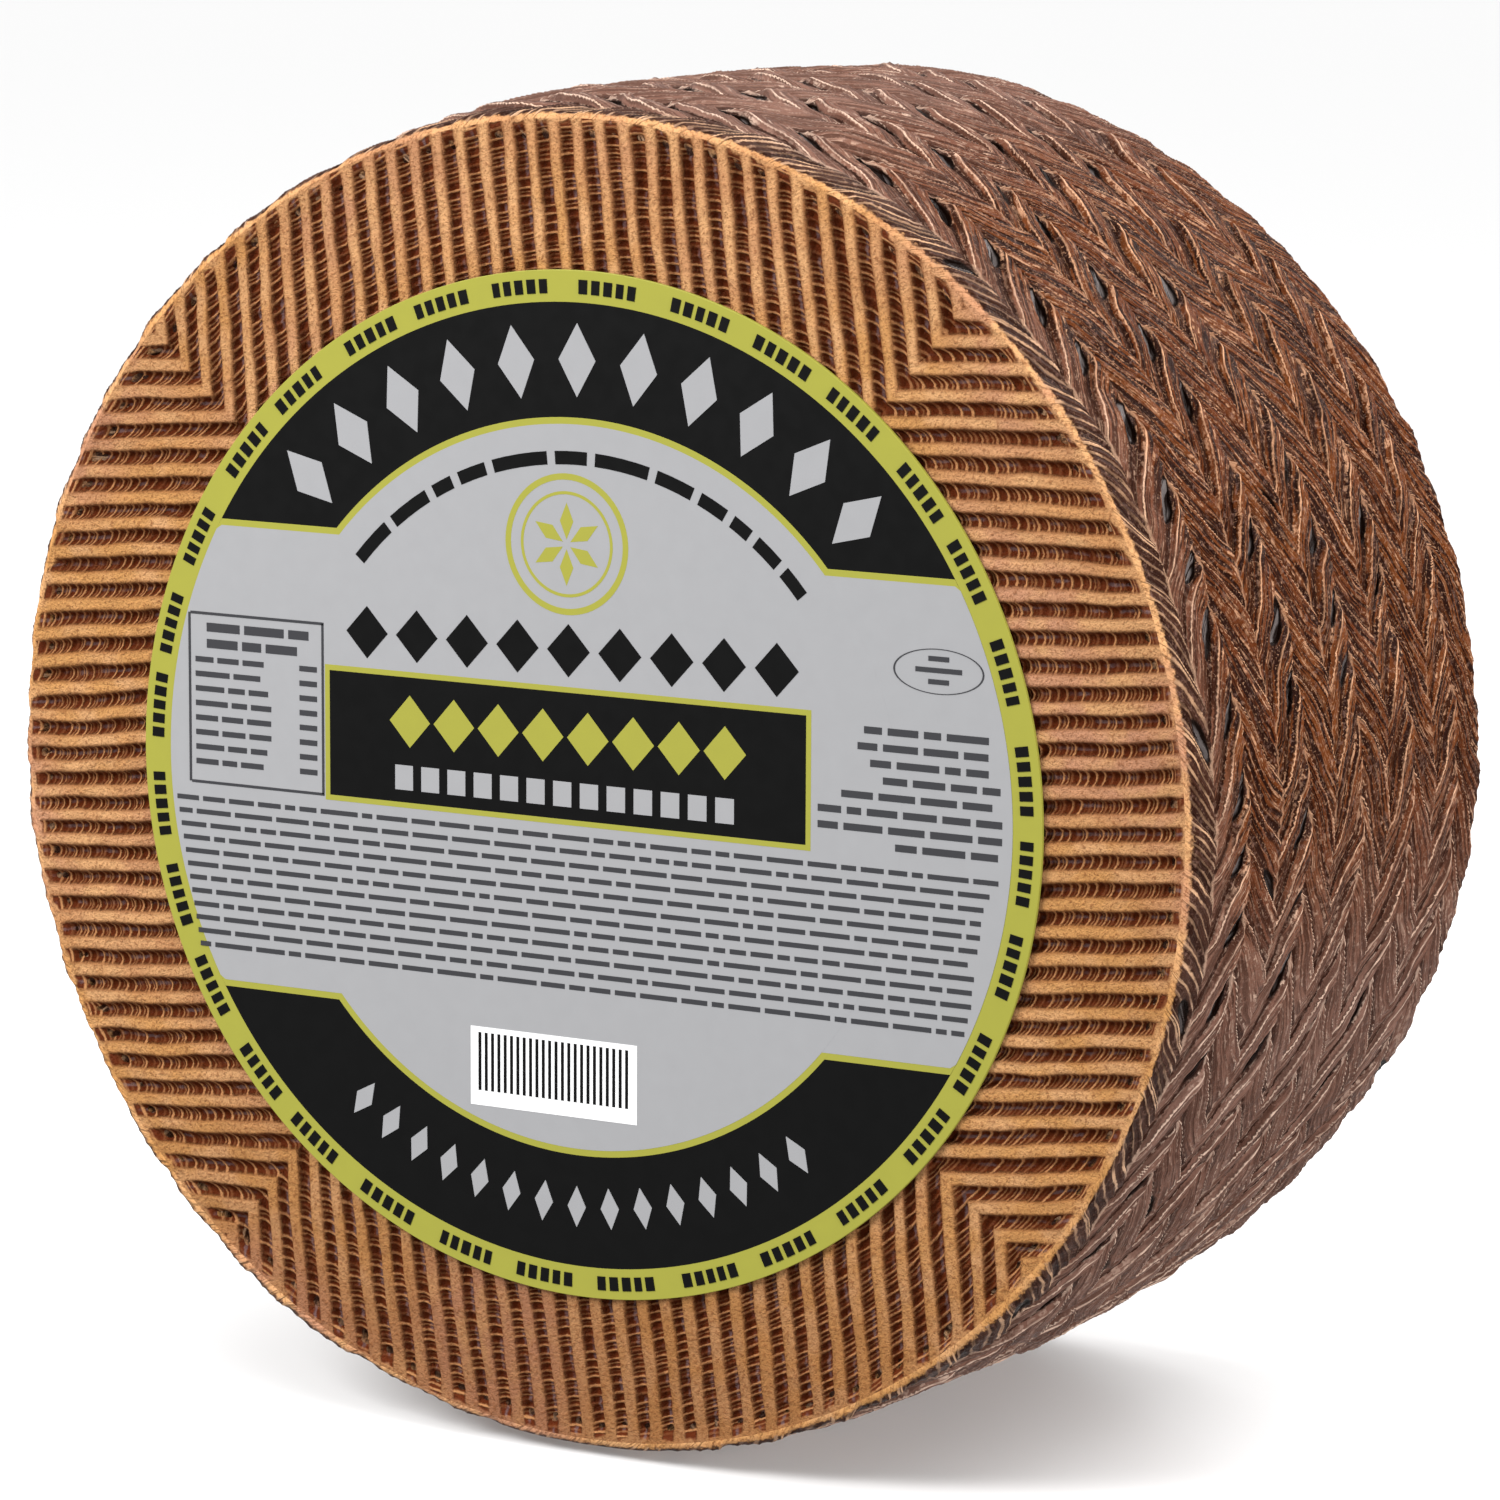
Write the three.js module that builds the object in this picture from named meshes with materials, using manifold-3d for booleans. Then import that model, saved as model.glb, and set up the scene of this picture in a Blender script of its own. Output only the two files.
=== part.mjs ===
import * as THREE from 'three';
import { mergeVertices } from 'three/addons/utils/BufferGeometryUtils.js';
import Module from 'manifold-3d';

// A pressed sheep's-milk cheese wheel that stands on its curved side.
// Millimetres, +Z up. The wheel's own axis runs along Y and the labelled face looks towards -Y.
// The origin is the middle of the small flat spot that the wheel stands on.

// Driving dimensions of the wheel
const rimRadius = 96;
const wheelThickness = 97.3;
const sideBulge = 2.1;
const rimDrop = 1.4;
const rimSetback = 1.6;
const flatSpotDepth = 0.75;

// Plaited band pressed into the side
const strandsRound = 58;
const firstColumnWidth = 6.5;
const columnWidth = 9.12;
const fullColumns = 9;
const strandShear = 1.25;
const strandCrest = 0.45;
const strandGroove = -0.4;
const columnEdgeCrest = 0.1;
const columnEdgeGroove = -0.75;
const smoothHalfAngle = THREE.MathUtils.degToRad(7);
const reliefHalfAngle = THREE.MathUtils.degToRad(13);

// Ribs pressed into both flat faces
const ribPitch = 3.86;
const grooveWidth = 1.9;
const grooveDepth = 0.9;
const grooveEndRadius = 93.4;
const grooveLevels = 17;
const ribTurn = THREE.MathUtils.degToRad(5);

// Round paper label
const labelRadius = 73.6;
const labelThickness = 0.5;
const labelGap = 0.3;
const labelEdgeRound = 0.12;
const labelSegments = 72;

const halfThickness = wheelThickness / 2;
const labelReach = labelGap + labelThickness;
const crestRadius = rimRadius + sideBulge + strandCrest;
const axisHeight = crestRadius - strandCrest - flatSpotDepth;

const wasm = await Module();
wasm.setup();

// A closed geometry as a solid
function solidOf(geometry) {
  geometry.deleteAttribute('normal');
  geometry.deleteAttribute('uv');
  const merged = mergeVertices(geometry, 1e-4);
  const vertProperties = new Float32Array(merged.attributes.position.array);
  const triVerts = new Uint32Array(merged.index.array);
  return new wasm.Manifold(new wasm.Mesh({ numProp: 3, vertProperties, triVerts }));
}

// A solid back as a geometry
function geometryOf(solid) {
  const mesh = solid.getMesh();
  const geometry = new THREE.BufferGeometry();
  geometry.setAttribute('position', new THREE.BufferAttribute(mesh.vertProperties, 3));
  geometry.setIndex(new THREE.BufferAttribute(mesh.triVerts, 1));
  geometry.computeVertexNormals();
  return geometry;
}

// Barrel radius at a distance y from the middle of the wheel
function barrelRadius(y) {
  const share = y / halfThickness;
  return rimRadius + sideBulge * (1 - share * share);
}

// The plait's column edges, from the front rim to the back rim
function columnEdges() {
  const edges = [-halfThickness + rimSetback];
  for (let column = 0; column <= fullColumns; column += 1) {
    edges.push(-halfThickness + firstColumnWidth + column * columnWidth);
  }
  edges.push(halfThickness - rimSetback);
  return edges;
}

// Rows of vertices across the side: each column's edges and its middle
function sideRows() {
  const edges = columnEdges();
  const rows = [];
  edges.forEach((y, index) => {
    const shift = index % 2 === 0 ? 0 : strandShear;
    rows.push({ y, shift, crest: columnEdgeCrest, groove: columnEdgeGroove });
    if (index < edges.length - 1) {
      const middle = (y + edges[index + 1]) / 2;
      rows.push({ y: middle, shift: strandShear / 2, crest: strandCrest, groove: strandGroove });
    }
  });
  return rows;
}

// How much of the relief is left near the flat spot, where the wheel's weight has pressed it smooth
function reliefShare(turnFromTop) {
  const fromBottom = Math.abs(Math.abs(turnFromTop) - Math.PI);
  return THREE.MathUtils.smoothstep(fromBottom, smoothHalfAngle, reliefHalfAngle);
}

// The wheel before its ribs and flat spot: a turned form whose side is moved in and out as a plait
function plaitedWheel() {
  const rows = sideRows();
  const faceRadius = rimRadius - rimDrop;
  const profile = [
    new THREE.Vector2(0, -halfThickness),
    new THREE.Vector2(faceRadius, -halfThickness),
    ...rows.map((row) => new THREE.Vector2(barrelRadius(row.y), row.y)),
    new THREE.Vector2(faceRadius, halfThickness),
    new THREE.Vector2(0, halfThickness),
  ];
  const steps = strandsRound * 2;
  const stepAngle = (2 * Math.PI) / steps;
  const geometry = new THREE.LatheGeometry(profile, steps);
  const position = geometry.attributes.position;
  for (let step = 0; step <= steps; step += 1) {
    rows.forEach((row, index) => {
      const turn = (step % steps + row.shift * 2) * stepAngle;
      const turnFromTop = Math.atan2(Math.sin(turn), Math.cos(turn));
      const relief = step % 2 === 0 ? row.crest : row.groove;
      const radius = barrelRadius(row.y) + relief * reliefShare(turnFromTop);
      const vertex = step * profile.length + index + 2;
      position.setXYZ(vertex, radius * Math.sin(turn), row.y, radius * Math.cos(turn));
    });
  }
  return solidOf(geometry);
}

// One L-shaped groove: a V section that runs in from the rim, turns a mitred corner and runs out again
function ribGroove(level) {
  const near = (level + 0.5) * ribPitch;
  const far = Math.sqrt(grooveEndRadius ** 2 - near ** 2);
  const half = grooveWidth / 2;
  const proud = 0.5;
  const lipHalf = half * (1 + proud / grooveDepth);
  // Each station along the groove: outer lip, bottom, inner lip
  const stations = [
    [[near + lipHalf, far], [near, far - half], [near - lipHalf, far]],
    [[near + lipHalf, near + lipHalf], [near, near], [near - lipHalf, near - lipHalf]],
    [[far, near + lipHalf], [far - half, near], [far, near - lipHalf]],
  ];
  const heights = [proud, -grooveDepth, proud];
  const vertices = [];
  for (const station of stations) {
    station.forEach(([u, v], index) => vertices.push(u, v, heights[index]));
  }
  const faces = [0, 1, 2, 6, 8, 7];
  for (let span = 0; span < 2; span += 1) {
    for (let corner = 0; corner < 3; corner += 1) {
      const a = span * 3 + corner;
      const b = span * 3 + (corner + 1) % 3;
      faces.push(a, b + 3, b, a, a + 3, b + 3);
    }
  }
  const geometry = new THREE.BufferGeometry();
  geometry.setAttribute('position', new THREE.Float32BufferAttribute(vertices, 3));
  geometry.setIndex(faces);
  return geometry;
}

// All grooves of one face, quarter by quarter; side is -1 for the front face and 1 for the back
function faceGrooves(side) {
  const grooves = [];
  for (let quarter = 0; quarter < 4; quarter += 1) {
    for (let level = 0; level < grooveLevels; level += 1) {
      const groove = ribGroove(level);
      groove.rotateZ(quarter * Math.PI / 2 + ribTurn);
      groove.rotateX(side === -1 ? Math.PI / 2 : -Math.PI / 2);
      groove.translate(0, side * halfThickness, 0);
      grooves.push(solidOf(groove));
    }
  }
  return wasm.Manifold.union(grooves);
}

// A block under the wheel that takes off the flat spot
function floorBlock() {
  const size = rimRadius * 4;
  const block = new THREE.BoxGeometry(size, size, size);
  block.translate(0, 0, -axisHeight - size / 2);
  return solidOf(block);
}

function wheelGeometry() {
  const body = plaitedWheel();
  const ribbed = body.subtract(faceGrooves(-1)).subtract(faceGrooves(1));
  return geometryOf(ribbed.subtract(floorBlock()));
}

// Thin round disc whose printed edge is eased
function labelGeometry() {
  const profile = [
    new THREE.Vector2(0, 0),
    new THREE.Vector2(labelRadius - labelEdgeRound, 0),
    new THREE.Vector2(labelRadius, labelEdgeRound),
    new THREE.Vector2(labelRadius, labelThickness),
    new THREE.Vector2(0, labelThickness),
  ];
  return geometryOf(solidOf(new THREE.LatheGeometry(profile, labelSegments)));
}

const rindMaterial = new THREE.MeshStandardMaterial({ color: 0x8a5a33, roughness: 0.62, metalness: 0 });
const labelMaterial = new THREE.MeshStandardMaterial({ color: 0xb4b4b6, roughness: 0.45, metalness: 0 });

const cheese = new THREE.Mesh(wheelGeometry(), rindMaterial);
cheese.name = 'cheese';

const label = new THREE.Mesh(labelGeometry(), labelMaterial);
label.name = 'label';
label.position.set(0, -halfThickness - labelReach, 0);

const wheel = new THREE.Group();
wheel.add(cheese, label);
wheel.position.set(0, labelReach / 2, axisHeight);

const group = new THREE.Group();
group.add(wheel);

export default group;
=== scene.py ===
import math

import bmesh
import bpy
import numpy as np
from mathutils import Euler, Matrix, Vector


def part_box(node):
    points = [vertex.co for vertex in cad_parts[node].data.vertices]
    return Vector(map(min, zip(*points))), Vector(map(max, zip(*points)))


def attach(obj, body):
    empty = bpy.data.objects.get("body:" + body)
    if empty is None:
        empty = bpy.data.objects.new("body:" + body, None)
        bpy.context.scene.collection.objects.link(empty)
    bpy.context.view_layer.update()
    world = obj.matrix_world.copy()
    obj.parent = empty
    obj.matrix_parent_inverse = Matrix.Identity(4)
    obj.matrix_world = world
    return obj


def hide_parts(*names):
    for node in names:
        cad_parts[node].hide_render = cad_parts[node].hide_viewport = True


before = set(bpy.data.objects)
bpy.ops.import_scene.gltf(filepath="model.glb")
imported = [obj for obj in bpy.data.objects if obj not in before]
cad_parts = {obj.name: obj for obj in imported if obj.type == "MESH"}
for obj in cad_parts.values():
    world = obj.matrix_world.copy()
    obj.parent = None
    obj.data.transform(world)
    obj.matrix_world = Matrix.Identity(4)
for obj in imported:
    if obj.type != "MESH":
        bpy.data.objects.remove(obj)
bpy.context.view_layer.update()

# Sizes of the wheel, in millimetres unless a name or a comment says otherwise
MM = 0.001
RIM_RADIUS = 96.0
SIDE_BULGE = 2.1
FLAT_SPOT_DEPTH = 0.75
CORNER_RADIUS = 1.3
wheel_low, wheel_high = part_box("cheese")
FRONT_Y = wheel_low.y / MM
THICKNESS = (wheel_high.y - wheel_low.y) / MM
AXIS_HEIGHT = RIM_RADIUS + SIDE_BULGE - FLAT_SPOT_DEPTH
MIDDLE = Vector((0, FRONT_Y + THICKNESS / 2, AXIS_HEIGHT))

# Half angles round the flat spot: the plait is pressed smooth within the first and free past the second
PRESSED_ANGLE = math.radians(6)
FREE_ANGLE = math.radians(12)

# Ribs of the flat faces, the grooves between them, and the pits that a cord has pressed into the grooves
RIB_PITCH = 3.86
RIB_TURN = math.radians(5.0)
RIB_DEPTH = 0.85
RIB_CROWN = 0.16
RIB_END_RADIUS = 94.6
GROOVE_FADE = (RIB_END_RADIUS - 2.2, RIB_END_RADIUS - 0.6)
# Where the painted shade in the grooves fades out at their ends
GROOVE_SHADE_FADE = (RIB_END_RADIUS - 0.5, RIB_END_RADIUS + 0.1)
GROOVE_HALF_WIDTHS = (0.45, 1.15)
PIT_DEPTH = 0.40
PIT_HALF_WIDTH = 1.0
PIT_HALF_LENGTH = 0.60
CORD_PITCH = 1.27
CORD_SHIFT = 0.37
CORD_SLANT = 0.25

# Plaited band of the side: columns of strands that lean one way and the other in turn
STRANDS = 58
FIRST_COLUMN = 6.5
COLUMN_WIDTH = 9.12
STRAND_COLUMNS = 14
STRAND_SHEAR = 1.3
STRAND_STRAIGHT = 0.7
STRAND_CURL = 0.3
STRAND_DEPTH = 1.2
STRAND_RIM = 0.16
COLUMN_CREASE = 0.28
HOLLOW_DEPTH = 0.75
MEAN_HEIGHT = 0.74
RIDGES = 5.0

# Label: its radius, and where its printed face and its back are
label_low, label_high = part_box("label")
LABEL_RADIUS = (label_high.x - label_low.x) / 2 / MM
LABEL_FRONT = label_low.y / MM
LABEL_BACK = label_high.y / MM

# Mesh fineness: steps round the wheel, steps along the skin, and the small gap left at each face's middle
STEPS_ROUND = STRANDS * 30
FACE_STEP = 0.27
SIDE_STEP = 0.36
BACK_STEP = 0.4
UNDER_LABEL_STEP = 4.0
POLE_GAP = 0.02

# Radii inside which the faces have fewer steps round
FRONT_COARSE_RADIUS = LABEL_RADIUS - 2.0
BACK_COARSE_RADIUS = 60.0
BACK_CENTRE_RADIUS = 30.0

# Run of the skin from the middle of the front face over the rim and side to the middle of the back face
FACE_RUN = RIM_RADIUS - CORNER_RADIUS
CORNER_RUN = CORNER_RADIUS * math.pi / 2
SIDE_RUN = THICKNESS - 2 * CORNER_RADIUS
SIDE_START = FACE_RUN + CORNER_RUN
WHOLE_RUN = 2 * SIDE_START + SIDE_RUN
BACK_FACE = WHOLE_RUN - FACE_RUN

rng = np.random.default_rng(7)


def smooth(value, low, high):
    """Goes smoothly from 0 at low to 1 at high."""
    share = np.clip((value - low) / (high - low), 0.0, 1.0)
    return share * share * (3 - 2 * share)


class Waves:
    """A sum of plane waves of about one wavelength, so that it has no seam anywhere."""

    LENGTH_SPREAD = 0.35

    def __init__(self, wavelength, count=14):
        direction = rng.normal(size=(count, 3))
        direction /= np.linalg.norm(direction, axis=1)[:, None]
        length = wavelength * np.exp(rng.normal(scale=self.LENGTH_SPREAD, size=count))
        self.vectors = direction * (2 * math.pi / length)[:, None]
        self.phases = rng.uniform(0, 2 * math.pi, count)

    def __call__(self, x, y, z):
        total = np.zeros(np.broadcast(x, y, z).shape)
        for (kx, ky, kz), phase in zip(self.vectors, self.phases):
            total += np.cos(kx * x + ky * y + kz * z + phase)
        return total * math.sqrt(2 / len(self.phases))


broad_lumps = Waves(55.0)
middle_lumps = Waves(14.0)
small_lumps = Waves(4.5)
fine_lumps = Waves(1.7, count=20)
warp_one = Waves(70.0)
warp_two = Waves(60.0)
warp_middle_one = Waves(13.0)
warp_middle_two = Waves(12.0)
warp_small_one = Waves(4.5)
warp_small_two = Waves(4.0)
strand_height = rng.uniform(0.55, 1.0, (STRANDS, STRAND_COLUMNS))
strand_hollow = rng.uniform(0.0, 1.0, (STRANDS, STRAND_COLUMNS))
warp_strands = Waves(24.0)


def swayed(value, place, *parts):
    """The value moved by waves at a place, each of them with its own size."""
    for waves, size in parts:
        value = value + size * waves(*place)
    return value


def profile(run):
    """Radius, depth behind the front face, and outward direction of the plain wheel's skin."""
    back = run > WHOLE_RUN / 2
    near = np.where(back, WHOLE_RUN - run, run)
    bend = np.clip((near - FACE_RUN) / CORNER_RADIUS, 0, math.pi / 2)
    radius = np.minimum(near, FACE_RUN) + CORNER_RADIUS * np.sin(bend)
    depth = CORNER_RADIUS * (1 - np.cos(bend)) + np.clip(near - SIDE_START, 0, None)
    share = 2 * depth / THICKNESS - 1
    radius = radius + SIDE_BULGE * (1 - share * share) * np.sin(bend)
    out_radius = np.sin(bend)
    out_depth = -np.cos(bend)
    depth = np.where(back, THICKNESS - depth, depth)
    out_depth = np.where(back, -out_depth, out_depth)
    return radius, depth, out_radius, out_depth


def rib_coordinates(place, back):
    """Place on a face along its rib directions, and out along the prints of the cord, all a little uneven."""
    x, _, z = place
    up = np.where(back, -1.0, 1.0) * (z - AXIS_HEIGHT)
    p = x * math.cos(RIB_TURN) + up * math.sin(RIB_TURN)
    q = up * math.cos(RIB_TURN) - x * math.sin(RIB_TURN)
    out = swayed(np.hypot(p, q), place, (warp_middle_two, 0.10), (warp_small_two, 0.06))
    p = swayed(p, place, (warp_one, 0.45), (warp_middle_one, 0.08), (warp_small_one, 0.035))
    q = swayed(q, place, (warp_two, 0.45), (warp_middle_two, 0.08), (warp_small_two, 0.035))
    return p, q, out


def rib_relief(p, q, out):
    """Height of the ribs, with the pits of the cord's print in the grooves between them."""
    lower = np.minimum(np.abs(p), np.abs(q)) / RIB_PITCH
    level = np.floor(lower)
    off_middle = lower - level - 0.5
    from_groove = np.abs(off_middle) * RIB_PITCH
    turns = out / CORD_PITCH + level * CORD_SHIFT - CORD_SLANT * np.sign(p * q) * off_middle
    from_pit = np.abs(turns % 1.0 - 0.5) * CORD_PITCH
    pit = 1 - smooth((from_groove / PIT_HALF_WIDTH) ** 2 + (from_pit / PIT_HALF_LENGTH) ** 2, 0.2, 1.2)
    groove = 1 - smooth(from_groove, *GROOVE_HALF_WIDTHS)
    ends = 1 - smooth(out, *GROOVE_FADE)
    crown = (1 - from_groove / (RIB_PITCH / 2)) ** 2
    return -(RIB_DEPTH * groove + PIT_DEPTH * pit + RIB_CROWN * crown) * ends


def plait_coordinates(angle, unrolled, place):
    """Place on the side: strands counted round the wheel, and columns counted from the front rim."""
    around = angle / (2 * math.pi) * STRANDS
    around = swayed(around, place, (warp_one, 0.12), (warp_middle_one, 0.020), (warp_strands, 0.10),
                    (warp_small_one, 0.008))
    across = (unrolled - FIRST_COLUMN) / COLUMN_WIDTH + 1
    across = swayed(across, place, (warp_two, 0.06), (warp_middle_two, 0.018))
    return around, across


def plait_relief(around, across):
    """Height of the overlapping strands, and how deep the hollow at a strand's end is.

    Here u runs from 0 to 1 across a column, and f from 0 to 1 across a strand, up to its overlapping rim.
    """
    column = np.floor(across)
    first = column < 1
    u = across - column
    slanting_up = column % 2
    lean = 2 * slanting_up - 1
    bend = STRAND_STRAIGHT * u + np.where(first, 0.0, STRAND_CURL) * (1 - (1 - u) ** 3)
    count = around - lean * STRAND_SHEAR * bend + 0.5 * slanting_up
    strand = np.floor(count)
    f = count - strand
    row = strand.astype(int) % STRANDS
    line = column.astype(int) % STRAND_COLUMNS
    arch = np.clip(np.minimum(u / 0.30, (1 - u) / 0.22), 0, 1) ** 0.6
    rise = smooth(f, 0.02, 0.80) * (1 - smooth(f, 0.93, 1.0))
    height = STRAND_DEPTH * strand_height[row, line] * rise * (0.35 + 0.65 * arch)
    height *= np.where(first, 0.65, 1.0)
    height += STRAND_RIM * np.exp(-((f - 0.92) / 0.045) ** 2)
    edge = np.minimum(u, 1 - u)
    height -= COLUMN_CREASE * np.exp(-((edge / 0.06) ** 2))
    ridge = (np.abs((f * RIDGES) % 1.0 - 0.5) * 2) ** 2
    height += ridge * np.where(first, 0.36, 0.14 + 0.24 * smooth(u, 0.35, 0.9))
    likely = np.where(slanting_up > 0, 1.05 - 0.12 * column, 0.08)
    strength = smooth(likely - strand_hollow[row, line], -0.15, 0.25)
    lens = 1 - ((u - 0.72) / 0.30) ** 2 - np.abs(f - 0.20) / 0.23
    hollow = strength * smooth(lens, -0.1, 0.6)
    height -= HOLLOW_DEPTH * hollow
    return height - MEAN_HEIGHT, hollow


def free_of_floor(turn):
    """How far the side is from being pressed smooth by the floor: 0 at the flat spot, 1 away from it."""
    from_floor = np.abs(turn + math.pi / 2)
    from_floor = np.minimum(from_floor, 2 * math.pi - from_floor)
    return smooth(from_floor, PRESSED_ANGLE, FREE_ANGLE)


def skin(steps, run, on_face):
    """Points of the finished skin at whole steps round the wheel and distances along the skin."""
    index, run = np.meshgrid(steps, run, indexing="ij")
    step_angle = 2 * math.pi / STEPS_ROUND
    turn = (index % STEPS_ROUND) * step_angle - math.pi / 2
    angle = index * step_angle - math.pi / 2
    radius, depth, out_radius, out_depth = profile(run)
    cosine = np.cos(turn)
    sine = np.sin(turn)
    place = (radius * cosine, FRONT_Y + depth, AXIS_HEIGHT + radius * sine)
    p, q, out = rib_coordinates(place, run > WHOLE_RUN / 2)
    unrolled = run - SIDE_START + CORNER_RADIUS
    around, across = plait_coordinates(angle, unrolled, place)
    plait, hollow = plait_relief(around, across)
    on_side = smooth(out_radius, 0.10, 0.75)
    free = free_of_floor(turn)
    from_rim = np.minimum(unrolled, THICKNESS - unrolled)
    plait = plait * (0.5 + 0.5 * smooth(from_rim, 0.0, 6.0))
    height = rib_relief(p, q, out) * (1 - on_side) + plait * on_side * free
    lumps = swayed(0.0, place, (middle_lumps, 0.10), (small_lumps, 0.05), (fine_lumps, 0.025),
                   (broad_lumps, 0.06 + 0.24 * out_radius))
    calm = smooth(radius, 5, 20) * (0.35 + 0.65 * free)
    height = height + np.minimum(lumps * calm, 0.18 + 0.6 * out_radius)
    rise = height * out_radius
    x = (radius + rise) * cosine
    y = place[1] + height * out_depth
    z = np.maximum(AXIS_HEIGHT + (radius + rise) * sine, 0.0)
    points = np.stack([x, y, z], axis=-1)
    weave = np.stack((p, q, out) if on_face else (around, across, unrolled), axis=-1)
    return points, weave, hollow * on_side * free


def outward_normals(points):
    """Outward directions at the inner points of a grid that has one extra row on every side."""
    along = points[1:-1, 2:] - points[1:-1, :-2]
    round_wheel = points[2:, 1:-1] - points[:-2, 1:-1]
    normal = np.cross(along, round_wheel)
    length = np.linalg.norm(normal, axis=-1, keepdims=True)
    return normal / np.maximum(length, 1e-9)


def mesh_of(bm, name):
    """A mesh made from a bmesh, which is then freed."""
    mesh = bpy.data.meshes.new(name)
    bm.to_mesh(mesh)
    bm.free()
    return mesh


def add_object(name, data):
    """A new object in the scene, at the origin and unturned."""
    made = bpy.data.objects.new(name, data)
    bpy.context.scene.collection.objects.link(made)
    return made


def patch_mesh(name, rows, columns):
    """A grid closed by a point behind it, with the grid place of each vertex and which one is that point."""
    bm = bmesh.new()
    bmesh.ops.create_grid(bm, x_segments=columns, y_segments=rows, size=1.0)
    border = [edge for edge in bm.edges if edge.is_boundary]
    made = bmesh.ops.extrude_edge_only(bm, edges=border)
    walls = [item for item in made["geom"] if isinstance(item, bmesh.types.BMVert)]
    bmesh.ops.pointmerge(bm, verts=walls, merge_co=(0, 0, -1))
    mesh = mesh_of(bm, name)
    flat = np.zeros(len(mesh.vertices) * 3)
    mesh.vertices.foreach_get("co", flat)
    flat = flat.reshape(-1, 3)
    row = np.rint((flat[:, 1] + 1) / 2 * rows).astype(int)
    column = np.rint((flat[:, 0] + 1) / 2 * columns).astype(int)
    return mesh, row, column, flat[:, 2] < -0.5


def add_values(mesh, name, kind, field, values):
    """Stores a value or vector at each vertex, for the materials to read."""
    layer = mesh.attributes.new(name, kind, "POINT")
    layer.data.foreach_set(field, np.ascontiguousarray(values, dtype=np.float32).ravel())


def match_coarse_neighbour(grid):
    """Puts every other point of the last column on the edges of a neighbour that has half as many points."""
    grid[1::2, -1] = (grid[:-1:2, -1] + grid[2::2, -1]) / 2


def skin_piece(name, material, steps_round, run_ends, spacing, every=1, coarse_neighbour=False):
    """One closed piece of the wheel: its part of the skin, and walls to the wheel's middle."""
    first_step, last_step = steps_round
    run_low, run_high = run_ends
    rows = (last_step - first_step) // every
    columns = max(2, round((run_high - run_low) / spacing))
    run = np.linspace(run_low, run_high, columns + 1)
    gap = run[1] - run[0]
    steps = np.arange(first_step - every, last_step + every + 1, every)
    padded = np.concatenate([[run_low - gap], run, [run_high + gap]])
    padded = np.clip(padded, POLE_GAP, WHOLE_RUN - POLE_GAP)
    on_face = run_high <= FACE_RUN or run_low >= BACK_FACE
    points, weave, hollow = skin(steps, padded, on_face)
    normals = outward_normals(points)
    points = points[1:-1, 1:-1]
    if coarse_neighbour:
        match_coarse_neighbour(points)
    mesh, row, column, apex = patch_mesh(name, rows, columns)
    place = points[row, column]
    place[apex] = MIDDLE
    mesh.vertices.foreach_set("co", (place * MM).ravel())
    add_values(mesh, "weave", "FLOAT_VECTOR", "vector", weave[1:-1, 1:-1][row, column])
    add_values(mesh, "hollow", "FLOAT", "value", hollow[1:-1, 1:-1][row, column])
    mesh.update()
    mesh.shade_smooth()
    mesh.normals_split_custom_set_from_vertices(normals[row, column])
    stand_for_cheese(add_object(name, mesh), material)


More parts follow.
